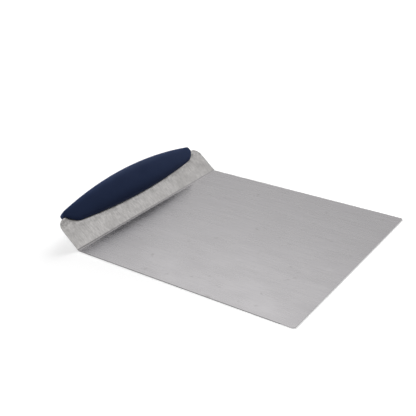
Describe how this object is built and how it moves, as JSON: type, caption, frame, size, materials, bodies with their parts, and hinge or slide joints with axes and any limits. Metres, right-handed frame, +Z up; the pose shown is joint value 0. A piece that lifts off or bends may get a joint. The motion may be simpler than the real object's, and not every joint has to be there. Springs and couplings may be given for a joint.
{
  "type": "cake lifter",
  "caption": "Square steel cake lifter: a thin flat blade bent up along its back edge, with a long soft boat-shaped handle on the bent flange.",
  "frame": {"origin": "middle of the blade's flat underside", "axes": "+X along the bend, front edge of the blade towards -Y, handle towards +Y, +Z up"},
  "size_m": [0.254, 0.301, 0.0415],
  "materials": {
    "blade_steel": "satin, fine straight grain",
    "grip_blue": "matt soft-touch",
    "core_grey": "as moulded",
    "screw_steel": "bright zinc"
  },
  "bodies": {
    "root": {"blade": "blade_steel", "front_grip": "grip_blue", "rear_grip": "grip_blue", "front_core": "core_grey", "rear_core": "core_grey", "screw_left": "screw_steel", "screw_middle": "screw_steel", "screw_right": "screw_steel", "plug_left": "grip_blue", "plug_middle": "grip_blue", "plug_right": "grip_blue"}
  },
  "joints": []
}
